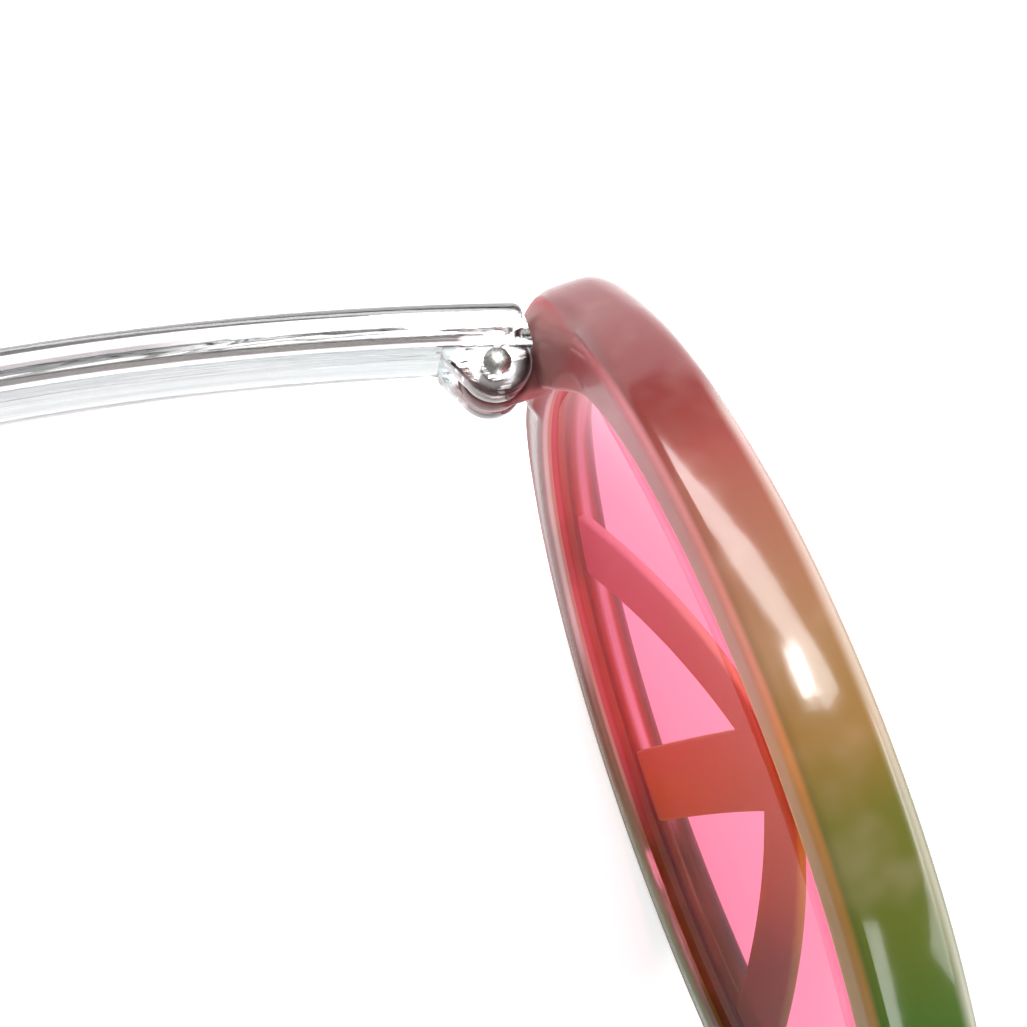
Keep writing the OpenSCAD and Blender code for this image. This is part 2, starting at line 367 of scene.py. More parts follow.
def block(x: Pair, y: Pair, z: Pair) -> Shell:
    """A plain box between bounds along the three axes."""
    base = [(x[0], y[0]), (x[1], y[0]), (x[1], y[1]), (x[0], y[1])]
    return Shell(np.array([[(*corner, height) for corner in base] for height in z], float))


def round_bar(radius: float, low: float, high: float, edge: float) -> Shell:
    """An upright cylinder with rounded rims.

    Args:
        radius: its radius.
        low: height of its lower end.
        high: height of its upper end.
        edge: radius of its rims.

    Returns:
        The closed surface.
    """
    below = arc(radius - edge, low + edge, edge, -90, 0, 6)[0]
    above = arc(radius - edge, high - edge, edge, 0, 90, 6)[0]
    return turned(np.concatenate([[[radius * 0.5, low]], below, above, [[radius * 0.5, high]]]))


# Finishes


class Wire:
    """A shader value on which arithmetic adds Math nodes."""

    def __init__(self, graph: "Nodes", socket: bpy.types.NodeSocket) -> None:
        """Wraps an output socket.

        Args:
            graph: the nodes that it belongs to.
            socket: the socket.
        """
        self.graph, self.socket = graph, socket

    def __add__(self, other: Value) -> "Wire":
        """Sum."""
        return self.graph.math("ADD", self, other)

    def __sub__(self, other: Value) -> "Wire":
        """Difference."""
        return self.graph.math("SUBTRACT", self, other)

    def __mul__(self, other: Value) -> "Wire":
        """Product."""
        return self.graph.math("MULTIPLY", self, other)

    def __truediv__(self, other: Value) -> "Wire":
        """Quotient."""
        return self.graph.math("DIVIDE", self, other)

    def __pow__(self, other: Value) -> "Wire":
        """Power."""
        return self.graph.math("POWER", self, other)

    def __rsub__(self, other: Value) -> "Wire":
        """Difference from a number."""
        return self.graph.math("SUBTRACT", other, self)

    __radd__ = __add__

    def step(self, low: float, high: float) -> "Wire":
        """Smooth step of this value.

        Args:
            low: where it leaves 0.
            high: where it reaches 1.

        Returns:
            The step.
        """
        return Wire(self.graph, self.graph.node(
            "ShaderNodeMapRange", {"interpolation_type": "SMOOTHSTEP"},
            {"Value": self, "From Min": low, "From Max": high}).outputs["Result"])

    def fall(self, low: float, high: float) -> "Wire":
        """One less the smooth step of this value."""
        return 1.0 - self.step(low, high)


class Nodes:
    """A tree of nodes, with one method that adds any node."""

    def __init__(self, tree: bpy.types.NodeTree) -> None:
        """Empties a tree.

        Args:
            tree: a material's tree or the world's.
        """
        self.tree = tree
        tree.nodes.clear()

    def node(self, kind: str, settings: dict[str, Any], inputs: dict[Any, Value]) -> bpy.types.Node:
        """Adds a node, sets its settings and then its inputs.

        Args:
            kind: the node's type.
            settings: attributes, and "stops" for a colour ramp as (place, colour) pairs.
            inputs: values or links by socket name or number.

        Returns:
            The node.
        """
        made = self.tree.nodes.new(kind)
        for key, value in settings.items():
            if key == "stops":
                self.set_stops(made.color_ramp, value)
            else:
                setattr(made, key, value)
        for key, value in inputs.items():
            self.feed(made.inputs[key], value)
        return made

    @staticmethod
    def set_stops(ramp: bpy.types.ColorRamp, stops: Stops) -> None:
        """Puts the stops of a colour ramp in place of its own.

        Args:
            ramp: the ramp.
            stops: places from 0 to 1 with their linear colours.
        """
        while len(ramp.elements) < len(stops):
            ramp.elements.new(0.5)
        for element, (place, colour) in zip(ramp.elements, stops):
            element.position = place
            element.color = (*colour, 1.0)

    def feed(self, socket: bpy.types.NodeSocket, value: Value) -> None:
        """Links a value to a socket, or sets it there.

        Args:
            socket: the input.
            value: a wire, a socket, a number or a colour.
        """
        if isinstance(value, Wire):
            self.tree.links.new(value.socket, socket)
        elif isinstance(value, bpy.types.NodeSocket):
            self.tree.links.new(value, socket)
        elif isinstance(value, tuple) and len(value) == 3 and socket.type == "RGBA":
            socket.default_value = (*value, 1.0)
        else:
            socket.default_value = value

    def math(self, operation: str, a: Value, b: Value = 0.0) -> Wire:
        """Adds one Math node.

        Args:
            operation: its operation.
            a: first value.
            b: second value.

        Returns:
            The result.
        """
        return Wire(self, self.node("ShaderNodeMath", {"operation": operation}, {0: a, 1: b}).outputs[0])

    def ramp(self, value: Value, stops: Stops) -> bpy.types.NodeSocket:
        """Colour ramp of a value.

        Args:
            value: where to read the ramp.
            stops: places from 0 to 1 with their linear colours.

        Returns:
            The colour.
        """
        return self.node("ShaderNodeValToRGB", {"stops": stops}, {0: value}).outputs["Color"]

    def mix(self, factor: Value, a: Value, b: Value) -> bpy.types.NodeSocket:
        """Mixes two colours.

        Args:
            factor: share of the second.
            a: first colour.
            b: second colour.

        Returns:
            The colour.
        """
        return self.node("ShaderNodeMix", {"data_type": "RGBA"}, {0: factor, 6: a, 7: b}).outputs[2]


class Graph(Nodes):
    """A material's nodes, round one Principled surface."""

    def __init__(self, name: str) -> None:
        """Starts a material with its surface.

        Args:
            name: the material's name.
        """
        self.material = bpy.data.materials.new(name)
        self.material.use_nodes = True
        super().__init__(self.material.node_tree)
        self.out = self.tree.nodes.new("ShaderNodeOutputMaterial")
        self.surface = self.tree.nodes.new("ShaderNodeBsdfPrincipled")
        self.tree.links.new(self.surface.outputs["BSDF"], self.out.inputs["Surface"])

    def coordinates(self) -> tuple[Wire, Wire, Wire]:
        """Object coordinates, in millimetres."""
        place = self.tree.nodes.new("ShaderNodeTexCoord").outputs["Object"]
        parts = self.node("ShaderNodeSeparateXYZ", {}, {0: place}).outputs
        return tuple(Wire(self, p) * 1000.0 for p in parts)

    def noise(self, scale: float, detail: float = 2.0, stretch: Triple = (1, 1, 1)) -> Wire:
        """Noise over object coordinates.

        Args:
            scale: cells to a metre.
            detail: octaves.
            stretch: scale along each axis.

        Returns:
            A value about 0.5.
        """
        place = self.tree.nodes.new("ShaderNodeTexCoord").outputs["Object"]
        mapped = self.node("ShaderNodeMapping", {}, {"Vector": place, "Scale": stretch}).outputs[0]
        return Wire(self, self.node("ShaderNodeTexNoise", {}, {
            "Vector": mapped, "Scale": scale, "Detail": detail, "Roughness": 0.5}).outputs["Fac"])

    def bump(self, height: Wire, strength: float, distance: float) -> bpy.types.NodeSocket:
        """Bump from a height.

        Args:
            height: the height.
            strength: how strong it is, from 0 to 1.
            distance: the height of 1, in metres.

        Returns:
            The normal.
        """
        return self.node("ShaderNodeBump", {}, {
            "Height": height, "Strength": strength, "Distance": distance}).outputs["Normal"]

    def blend(self, factor: Value, **inputs: Value) -> None:
        """Mixes a second Principled surface into the first.

        Args:
            factor: share of the second.
            inputs: its sockets, named with underscores for spaces.
        """
        second = self.tree.nodes.new("ShaderNodeBsdfPrincipled")
        for key, value in inputs.items():
            self.feed(second.inputs[key.replace("_", " ")], value)
        mixed = self.node("ShaderNodeMixShader", {}, {
            0: factor, 1: self.surface.outputs[0], 2: second.outputs[0]})
        self.tree.links.new(mixed.outputs[0], self.out.inputs["Surface"])

    def set(self, **inputs: Value) -> None:
        """Sets or links the surface's sockets, named with underscores for spaces."""
        for key, value in inputs.items():
            self.feed(self.surface.inputs[key.replace("_", " ")], value)


def srgb(r: float, g: float, b: float) -> Triple:
    """Linear colour of a display colour.

    Args:
        r: red from 0 to 255.
        g: green.
        b: blue.

    Returns:
        The colour by the display standard's curve: a power of 2.4 above its straight foot.
    """
    return tuple(((c / 255 + 0.055) / 1.055) ** 2.4 if c > 10 else c / 255 / 12.92 for c in (r, g, b))


def shown_stops(*stops: tuple[float, float, float, float]) -> Stops:
    """Stops of a colour ramp.

    Args:
        stops: for each, its place in mm and its display colour.

    Returns:
        Places with linear colours.
    """
    return tuple((place, srgb(*colour)) for place, *colour in stops)


def over(reach: float, stops: Stops) -> Stops:
    """Moves stops given in mm, from minus a reach to the reach, into a ramp's own range from 0 to 1."""
    return tuple(((place + reach) / (2 * reach), colour) for place, colour in stops)


@dataclass(frozen=True)
class FrontPlastic:
    """Glossy, slightly see-through plastic whose colours run into each other across each rim.

    The stops' places and the bands, over which one colour gives way to the next, are in mm.
    """

    rim: Stops = shown_stops(
        (-30, 24, 74, 78), (-22, 28, 82, 54), (-12, 44, 84, 22), (-7, 74, 86, 24), (-1, 92, 88, 30),
        (3, 126, 94, 44), (7, 138, 102, 68), (12, 140, 90, 70), (17.5, 138, 68, 60), (21.5, 112, 28, 28),
        (25, 116, 42, 44), (31, 122, 50, 54))
    bars: Stops = shown_stops(
        (-30, 70, 150, 100), (-14, 132, 180, 80), (-9, 186, 214, 70), (-5, 206, 224, 50), (0, 228, 232, 50),
        (5, 252, 220, 140), (12, 255, 212, 196), (18, 255, 206, 206), (31, 252, 190, 192))
    behind: Stops = shown_stops(
        (-30, 90, 110, 80), (-12, 150, 116, 70), (-4, 160, 112, 50), (0, 180, 120, 58), (3, 206, 132, 78),
        (7, 214, 134, 112), (14.8, 208, 132, 130), (20.9, 214, 136, 142), (24, 178, 92, 94),
        (26.5, 158, 68, 72), (31, 150, 62, 68))
    wall: Triple = srgb(234, 116, 80)
    wall_by_nose: Triple = srgb(128, 110, 44)
    # Painted light for the bars near the top, where the top rim shades them
    bars_top: Triple = srgb(255, 206, 190)
    # Painted highlights on the seat of the lens and the lip behind it, towards the hinge; the seat's brown by
    # the nose is its own colour
    seat: Triple = srgb(250, 214, 200)
    seat_by_nose: Triple = srgb(112, 92, 40)
    lip: Triple = srgb(250, 236, 232)
    lip_by_nose: Triple = srgb(214, 190, 180)
    shadow: Triple = srgb(118, 40, 52)
    shadow_by_nose: Triple = srgb(176, 196, 160)
    # Painted highlights on the wall in front of the lens and on the rim's outer front corner
    bevel: Triple = srgb(255, 250, 250)
    front_corner: Triple = srgb(236, 226, 216)
    flow: Triple = srgb(226, 190, 176)
    arm: Triple = srgb(152, 100, 98)
    # The middle knuckle: painted nearly white as light against its shade, and darker round its edge
    knuckle: Triple = (1.0, 0.98, 0.98)
    knuckle_edge: Triple = srgb(88, 46, 44)
    reach: float = 31.0
    wander: float = 5.0
    wall_edge: float = 26.3
    hinge_band: Pair = (-6.0, 3.0)
    nose_band: Pair = (-22.0, -14.0)
    opening_band: Pair = (25.75, 25.95)
    seat_band: Pair = (-5.2, -4.7)
    lip_band: Pair = (-5.75, -5.62)
    back_band: Pair = (-6.2, -5.9)
    corner_band: Pair = (-2.5, -1.8)
    arm_band: Pair = (2.9, 4.2)
    barrel_band: Pair = (2.0, 2.4)
    hub_out: float = 0.45

    def make(self) -> bpy.types.Material:
        """Builds the material.

        Returns:
            The material: a colour ramp over the distance out along the rim, another for the thin bars,
            which let more light through, painted highlights by the lens and on the rim's front corner, painted
            light on the bars near the top, and a middle knuckle painted nearly white against its shade.
        """
        g = Graph("front_plastic")
        x, y, z = g.coordinates()
        side = g.math("ABSOLUTE", x)
        away, back = side - EYE_X, y - EYE_Y
        u = away * math.cos(WRAP) + back * math.sin(WRAP)
        v = z - RIM_HEIGHT
        n = away * math.sin(WRAP) - back * math.cos(WRAP)
        radius = (u * u + v * v) ** 0.5
        place = (u + (g.noise(90.0, 3.0) - 0.5) * self.wander + self.reach) / (2 * self.reach)
        rim, bars, behind = (g.ramp(place, over(self.reach, stops))
                             for stops in (self.rim, self.bars, self.behind))
        # The inner wall, orange by the hinge and brown towards the nose
        by_hinge = u.step(*self.hinge_band)
        inside = g.mix(by_hinge, self.wall_by_nose, self.wall)
        wall = g.mix(radius.fall(self.wall_edge, 26.9) * u.step(*self.nose_band) * 0.7, rim, inside)
        # The bars and the lip in front of the lens, with painted light on the bars near the top, where the top
        # rim shades them
        thin = radius.fall(*self.opening_band)
        colour = g.mix(thin, wall, g.mix(v.step(12.0, 22.0) * 0.25, bars, self.bars_top))
        # The seat of the lens and the lip behind it, with painted highlights: pale towards the hinge, while
        # towards the nose the seat is brown and the lip a paler rim colour
        inner = radius.fall(self.wall_edge, 26.6)
        seat = g.mix(by_hinge, self.seat_by_nose, self.seat)
        colour = g.mix(inner * n.fall(*self.seat_band) * 0.6, colour, seat)
        lip = g.mix(u.step(7.0, 14.0), g.mix(0.35, rim, self.lip_by_nose), self.lip)
        colour = g.mix(inner * n.fall(*self.lip_band), colour, lip)
        # The back face, darker beside the lens in its lower part
        dark = radius.fall(27.4, 28.2) * n.fall(-6.15, -5.95) * v.fall(-4.0, 8.0)
        shadow = g.mix(by_hinge, self.shadow_by_nose, self.shadow)
        colour = g.mix(dark * 0.6, colour, g.mix(0.5, rim, shadow))
        matte = n.fall(*self.back_band) * (1.0 - dark)
        colour = g.mix(matte * 0.9, colour, behind)
        # The bars' front faces, by their height over the lens's sphere
        height = n + CURVE_R - (CURVE_R ** 2 - radius * radius) ** 0.5
        colour = g.mix(thin * height.step(0.6, 0.8) * 0.55, colour, rim)
        # Painted highlights on the wall in front of the lens and on the rim's outer front corner
        bevel = n.step(-3.75, -3.4) * radius.fall(self.wall_edge, 26.5) * (1.0 - thin) * u.step(-6.0, 2.0)
        colour = g.mix(bevel * 0.85, colour, self.bevel)
        edge = n.step(*self.corner_band) * radius.step(28.9, 29.2) * u.fall(18.0, 22.0)
        colour = g.mix(edge * 0.36, colour, self.front_corner)
        # Faint flow marks, then the hinge's arm and its middle knuckle: painted nearly white near the pin, as
        # light against the shade that it sits in, and darker round its edge
        flow = g.noise(260.0, 2.0, (1.0, 1.0, 0.5))
        colour = g.mix(flow.step(0.45, 0.8) * 0.1, colour, self.flow)
        out, rear = side - HINGE_X, y - HINGE_Y
        middle = ((out - self.hub_out) * (out - self.hub_out) + rear * rear) ** 0.5
        barrel = (out * out + rear * rear) ** 0.5
        hub = g.mix(middle.step(1.15, 1.8), self.knuckle, self.knuckle_edge)
        colour = g.mix(barrel.fall(*self.arm_band), colour, self.arm)
        colour = g.mix(barrel.fall(*self.barrel_band), colour, hub)
        wave = g.noise(160.0, 1.0) + g.noise(520.0, 2.0) * 0.22
        g.set(Base_Color=colour, Roughness=0.1 + g.noise(900.0, 2.0) * 0.08, IOR=1.42,
              Coat_Weight=0.2, Coat_Roughness=0.04, Subsurface_Weight=0.2,
              Subsurface_Radius=(1.0, 0.5, 0.4), Subsurface_Scale=0.0015, Normal=g.bump(wave, 0.16, 0.0006))
        # A soft surface that lets light through: all over a little, more behind, and most in the bars
        g.blend(g.math("MAXIMUM", 0.12 + matte * 0.58, thin * 0.9), Base_Color=colour, Roughness=0.5,
                Specular_IOR_Level=0.0, Subsurface_Weight=1.0, Subsurface_Radius=(1.0, 0.9, 0.85),
                Subsurface_Scale=0.002)
        return g.material


@dataclass(frozen=True)
class LensTint:
    """Smooth tinted sheet that colours what is behind it."""

    tint: Triple = srgb(223, 114, 143)
    deeper: Triple = srgb(215, 103, 131)

    def make(self) -> bpy.types.Material:
        """Builds the material.

        Returns:
            The material: nearly no refraction, a thin clear coat and a faint wave.
        """
        g = Graph("tinted_lens")
        g.set(Base_Color=g.mix(g.noise(40.0, 2.0) * 0.12, self.tint, self.deeper), Roughness=0.02,
              Transmission_Weight=1.0, IOR=1.02, Coat_Weight=0.35, Coat_Roughness=0.02,
              Normal=g.bump(g.noise(70.0, 1.0), 0.05, 0.0004))
        return g.material


@dataclass(frozen=True)
class ClearPlastic:
    """Water-clear moulded plastic, painted with dark and pale bands along its length as reflections of its
    surroundings.

    The bands' places are in mm across the bar, from its middle.
    """

    tint: Triple = (0.96, 0.97, 0.98)
    # Painted reflections of the dark surroundings: the inner side face, a line low on it and a line on the top
    # face; the outer face is paler
    face: Triple = (0.185, 0.222, 0.228)
    streaked: Triple = (0.24, 0.28, 0.283)
    low_line: Triple = (0.3, 0.31, 0.31)
    grey: Triple = (0.1, 0.1, 0.1)
    outer: Triple = (0.88, 0.9, 0.9)
    # Painted dark reflection round the knuckles' inward edge
    edge: Triple = (0.1, 0.055, 0.052)
    # Painted reflections on the top face: dark and pale bands by the distance across the bar
    lines: Stops = (
        (-1.2, (0.85, 0.84, 0.84)), (-1.1, (0.9, 0.9, 0.9)), (-1.04, (0.05, 0.05, 0.046)),
        (-0.74, (0.05, 0.05, 0.046)), (-0.66, (0.6, 0.6, 0.6)), (-0.56, (0.97, 0.97, 0.97)),
        (-0.42, (0.98, 0.98, 0.98)), (-0.2, (0.98, 0.98, 0.98)), (0.45, (0.98, 0.98, 0.98)),
        (0.58, (0.98, 0.98, 0.98)), (0.64, (0.02, 0.021, 0.02)), (0.9, (0.02, 0.021, 0.02)),
        (1.0, (0.06, 0.063, 0.062)), (1.2, (0.04, 0.042, 0.041)))
    reach: float = 1.3
    line_at: float = 0.22
    low_line_at: float = 2.4
    hair_band: Pair = (10.0, 13.0)
    wide_band: Pair = (13.5, 20.0)
    side_band: Pair = (1.2, 1.24)
    barrel_band: Pair = (2.15, 2.6)

    def make(self) -> bpy.types.Material:
        """Builds the material.

        Returns:
            The material: painted reflections, as bands over the distance across the bar and on the side faces,
                with one line low down.
        """
        g = Graph("clear_plastic")
        x, y, z = g.coordinates()
        behind = y - HINGE_Y
        near = g.math("MINIMUM", behind, BOW_RUN)
        start = (TEMPLE_INSET + TEMPLE_THICK / 2) / math.cos(SPLAY)
        middle = near * math.tan(SPLAY) * (1.0 - near / (2 * BOW_RUN)) + start
        across = g.math("ABSOLUTE", x) - HINGE_X - middle
        drift = (g.noise(260.0, 2.0, (1.0, 0.12, 1.0)) - 0.5) * 0.5
        # Painted reflections on the top face: dark and pale bands by the distance across the bar, and a dark
        # line, thin near the hinge and wider further back
        top = g.ramp((across + drift * 0.3 + self.reach) / (2 * self.reach), over(self.reach, self.lines))
        centre = g.math("ABSOLUTE", across + self.line_at + drift * 0.5)
        wide = centre.fall(0.26, 0.38) * behind.step(*self.wide_band)
        hair = (centre - 0.02).fall(0.03, 0.09) * behind.fall(*self.hair_band)
        top = g.mix(g.math("MAXIMUM", wide, hair) * 0.9, top, self.grey)
        height = z - HINGE_Z
        top = g.mix(height.step(-4.4, -4.0), self.tint, top)
        # The inner and outer side faces: painted dark reflection on the inner face above its clear foot, with
        # streaks and a line low down, and a paler outer face
        low = g.math("ABSOLUTE", height + self.low_line_at + drift)
        streak = g.noise(900.0, 3.0, (1.0, 0.03, 1.0)).step(0.42, 0.72)
        face = g.mix(streak * 0.5, self.face, self.streaked)
        face = g.mix(height.step(-3.9, -3.4), self.tint, face)
        face = g.mix(low.fall(0.1, 0.3) * 0.8, face, self.low_line)
        face = g.mix(across.step(-0.1, 0.1), face, self.outer)
        side = g.math("ABSOLUTE", across).step(*self.side_band)
        colour = g.mix(side, top, face)
        # The knuckles, clear on top, with a painted dark reflection round their inward edge
        out = g.math("ABSOLUTE", x) - HINGE_X
        barrel = (out * out + behind * behind) ** 0.5
        rim = barrel.step(1.5, 1.8) * out.fall(-0.1, 0.7)
        colour = g.mix(barrel.fall(*self.barrel_band), colour, g.mix(rim, self.tint, self.edge))
        g.set(Base_Color=colour, Roughness=0.02 + g.noise(1500.0, 2.0) * 0.04, Transmission_Weight=1.0,
              IOR=1.47, Normal=g.bump(streak, 0.05, 0.0002))
        return g.material


@dataclass(frozen=True)
class PinSteel:
    """Bright drawn steel with a fine turned grain on its head."""

    dull: Triple = srgb(168, 166, 160)
    bright: Triple = srgb(206, 203, 198)

    def make(self) -> bpy.types.Material:
        """Builds the material.

        Returns:
            The material: one fine noise for its colour, its roughness and its grain.
        """
        g = Graph("pin_steel")
        grain = g.noise(5200.0, 2.0)
        g.set(Base_Color=g.mix(grain, self.dull, self.bright), Metallic=1.0,
              Roughness=0.2 + grain * 0.14, Normal=g.bump(grain, 0.15, 0.00003))
        return g.material


# Pieces of the front


@dataclass
class Rim:
    """One rim with the end piece that grows out of it: a section carried round a circle.

    The section's outer side, front and back move with the angle, so the end piece and the round rim are
    one smooth surface.
    """

    wall_r: float = WALL_R
    rim_r: float = 29.5
    front: float = -1.469
    back: float = RIM_BACK
    joint: float = -7.319
    front_round: Pair = (0.84, 2.37)
    back_round: Pair = (0.79, 2.19)
    corner: float = 2.2
    small_corner: float = 0.35
    front_lift: float = 0.3
    crown: float = 0.3
    crown_r: Pair = (27.0, 2.0)
    blend: float = 0.429
    spread: float = math.radians(4.5)
    front_circles: tuple[Triple, ...] = ((29.44, 7.77, 1.92), (28.91, -0.14, 1.75), (24.67, 15.13, 1.67))
    back_circles: tuple[Triple, ...] = ((29.36, 7.39, 1.92), (29.78, 0.31, 1.6), (24.53, 14.88, 1.71))
    end_r: float = 28.0
    end_circle: float = 1.45
    end_angles: Pair = (45.0, -30.0)
    least_lean: float = 0.05
    lifted: tuple[Pair, Pair] = ((-12.0, 8.0), (9.0, 11.0))
    softer: tuple[Pair, Pair] = ((-12.0, 9.0), (9.0, 12.0))
    set_back: tuple[Pair, Pair] = ((-6.8, 5.4), (8.6, 5.2))
    steps: int = 450

    def reach(self, theta: Array, circles: tuple[Triple, ...]) -> Array:
        """Outer edge of the rim and end piece together.

        The edge of a hull of circles along a ray is the least, over all directions, of the hull's
        support in that direction divided by the cosine between the two. The larger of that and the
        rim's radius is taken, blended by the logarithm of a sum of exponentials, and spread by a
        Gaussian in angle: each Fourier part times the exponential of minus half its order times the
        spread, squared.

        Args:
            theta: angles round the rim, 0 towards the temple.
            circles: u, v and radius of each circle of the end piece.

        Returns:
            The radius at each angle.
        """
        ends = tuple((self.end_r * math.cos(a), self.end_r * math.sin(a), self.end_circle)
                     for a in map(math.radians, self.end_angles))
        phi = np.radians(np.arange(0, 360, 0.5))
        support = np.max([c[0] * np.cos(phi) + c[1] * np.sin(phi) + c[2] for c in circles + ends], 0)
        lean = np.cos(theta[:, None] - phi[None, :])
        along = np.where(lean > self.least_lean, support[None, :] / np.maximum(lean, self.least_lean), 1e3)
        gap = np.min(along, 1) - self.rim_r
        edge = self.rim_r + self.blend * np.logaddexp(0, gap / self.blend)
        order = np.minimum(np.arange(len(theta)), len(theta) - np.arange(len(theta)))
        return np.real(np.fft.ifft(np.fft.fft(edge) * np.exp(-0.5 * (order * self.spread) ** 2)))

    def surface(self) -> Shell:
        """The rim's whole surface: at each angle, a section with four round corners.

        Returns:
            The closed ring.
        """
        theta = np.linspace(0, 2 * math.pi, self.steps, endpoint=False)
        outer_front, outer_back = self.reach(theta, self.front_circles), self.reach(theta, self.back_circles)
        v = self.rim_r * np.sin(theta)
        near = np.where(np.cos(theta) > 0, 1.0, 0.0)
        lifted, softer, set_back = (hill(v, *span) * near for span in (self.lifted, self.softer, self.set_back))
        z_front = self.front + self.front_lift * lifted
        z_back = self.back + (self.joint - self.back) * set_back
        big = self.front_round[0] + (self.front_round[1] - self.front_round[0]) * softer
        rear = self.back_round[0] + (self.back_round[1] - self.back_round[0]) * softer
        one = np.ones_like(theta)
        small = self.small_corner * one
        loop = joined([
            arc(self.wall_r + self.corner * one, z_front - self.corner, self.corner * one, 180, 90, 10),
            arc(outer_front - big, z_front - big, big, 90, 0, 12),
            arc(outer_back - rear, z_back + rear, rear, 0, -90, 12),
            arc(self.wall_r + small, z_back + small, small, -90, -180, 7)], 5)
        r, n = loop[..., 0], loop[..., 1]
        off_middle = (2 * n - (z_front + z_back)[:, None]) / (z_front - z_back)[:, None]
        r = r - self.crown * off_middle ** 2 * smooth((r - self.crown_r[0]) / self.crown_r[1])
        c, s = np.cos(theta)[:, None], np.sin(theta)[:, None]
        return Shell(np.stack([r * c, r * s, n], -1), ring=True)


@dataclass
class PeaceSign:
    """The lip in front of the lens and the bars that cross it, all bent to the lens's curve."""

    curve_r: float = CURVE_R
    lip_r: Pair = (OPENING_R, 27.4)
    lip_corner: float = 0.24
    bar_w: float = 5.5
    bar_t: float = 0.85
    bar_corner: float = 0.26
    bar_end: float = 26.6
    angle: float = 45.0
    insets: Triple = (0.0, 0.02, 0.025)

    def lip(self) -> Shell:
        """The lip: a small rounded section carried round the opening.

        Returns:
            The closed ring.
        """
        a = np.linspace(0, 2 * math.pi, 288, endpoint=False)
        loop = rounded_box(*self.lip_r, 0.0, self.bar_t, self.lip_corner, 6, 2)[0]
        r = loop[:, 0][None, :]
        u, v = r * np.cos(a)[:, None], r * np.sin(a)[:, None]
        return Shell(np.stack([u, v, loop[:, 1][None, :] - sag(self.curve_r, u, v)], -1), ring=True)

    def bar(self, turn: float, start: float, inset: float) -> Shell:
        """One bar: a rounded section carried along a line and bent to the curve.

        Args:
            turn: angle of the bar from straight down, in degrees.
            start: where it starts, along its line.
            inset: how far it stays inside the first bar's faces, where the two run through each other.

        Returns:
            The closed surface.
        """
        s = np.linspace(start, self.bar_end, 72)
        half = self.bar_w / 2
        loop = rounded_box(-half, half, inset, self.bar_t - inset, self.bar_corner, 6, 9)[0]
        w, h = loop[:, 0][None, :], loop[:, 1][None, :]
        a = math.radians(turn)
        u = w * math.cos(a) + s[:, None] * math.sin(a)
        v = w * math.sin(a) - s[:, None] * math.cos(a)
        return Shell(np.stack([u, v, h - sag(self.curve_r, u, v)], -1))

    def surfaces(self) -> list[Shell]:
        """The lip, the upright bar across the whole opening and two slanting ones down from its middle."""
        turns, starts = (0.0, self.angle, -self.angle), (-self.bar_end, 0.0, 0.0)
        return [self.lip()] + [self.bar(*each) for each in zip(turns, starts, self.insets)]


@dataclass
class NosePad:
    """A thin fin on the back of the rim that leans in to the nose."""

    root_r: float = 28.4
    lean: float = 1.1
    half_t: float = 1.2
    reach: float = 5.0
    sunk: float = 1.3
    back: float = RIM_BACK
    middle: float = math.radians(202.2)
    half_angles: Pair = (15.0, 6.5)
    closing: float = 0.22

    def surface(self) -> Shell:
        """The fin: a long rounded loop that moves back and out from the rim and closes at its edge.

        Returns:
            The closed surface: its last rows shrink as the root of one less the square of their share.
        """
        open_share = 1 - self.closing
        k = np.concatenate([np.linspace(0, open_share, 20),
                            open_share + self.closing * np.sin(np.radians(np.linspace(6, 89, 14)))])
        close = np.sqrt(np.clip(1 - ((k - open_share) / self.closing).clip(0, 1) ** 2, 0.0004, 1))
        half_a = np.radians(self.half_angles[0] - self.half_angles[1] * smooth(k)) * (0.75 + 0.25 * close)
        thick = self.half_t * (1.12 - 0.12 * smooth(k * 2)) * close
        t = np.linspace(0, 2 * math.pi, 72, endpoint=False)[None, :]
        a = self.middle + half_a[:, None] * signed_power(np.cos(t), 0.72)
        r = self.root_r + self.lean * smooth(k)[:, None] + thick[:, None] * signed_power(np.sin(t), 0.85)
        n = self.back + self.sunk - (self.reach + self.sunk) * k[:, None] + 0 * t
        return Shell(np.stack([r * np.cos(a), r * np.sin(a), n], -1))


@dataclass
class Bridge:
    """The arch over the nose, which widens into the rims."""

    radius: float = 10.0
    up: float = 2.0
    high: float = 4.0
    deep: float = 4.0
    edge: float = 1.3
    mid_y: float = -71.64
    ends: Pair = (-2.0, 182.0)
    flare: float = 0.25
    flare_run: float = 0.5

    def surface(self) -> Shell:
        """The arch in the row frame, in mm: a rounded section carried round a little over half a circle.

        Returns:
            The closed surface.
        """
        a = np.radians(np.linspace(*self.ends, 120))
        flare = 1 - smooth(np.minimum(a + 0.04, math.pi - a + 0.04) / self.flare_run)
        half_h = self.high / 2 * (1 - 0.04 * np.sin(a)) + self.flare * flare
        half_d = self.deep / 2 + self.flare * flare
        loop = rounded_box(-half_h, half_h, -half_d, half_d, self.edge, 8, 3)
        r = self.radius + loop[..., 0]
        x, z = r * np.cos(a)[:, None], r * np.sin(a)[:, None]
        return Shell(np.stack([x, self.mid_y + loop[..., 1], RIM_HEIGHT + self.up + z], -1))


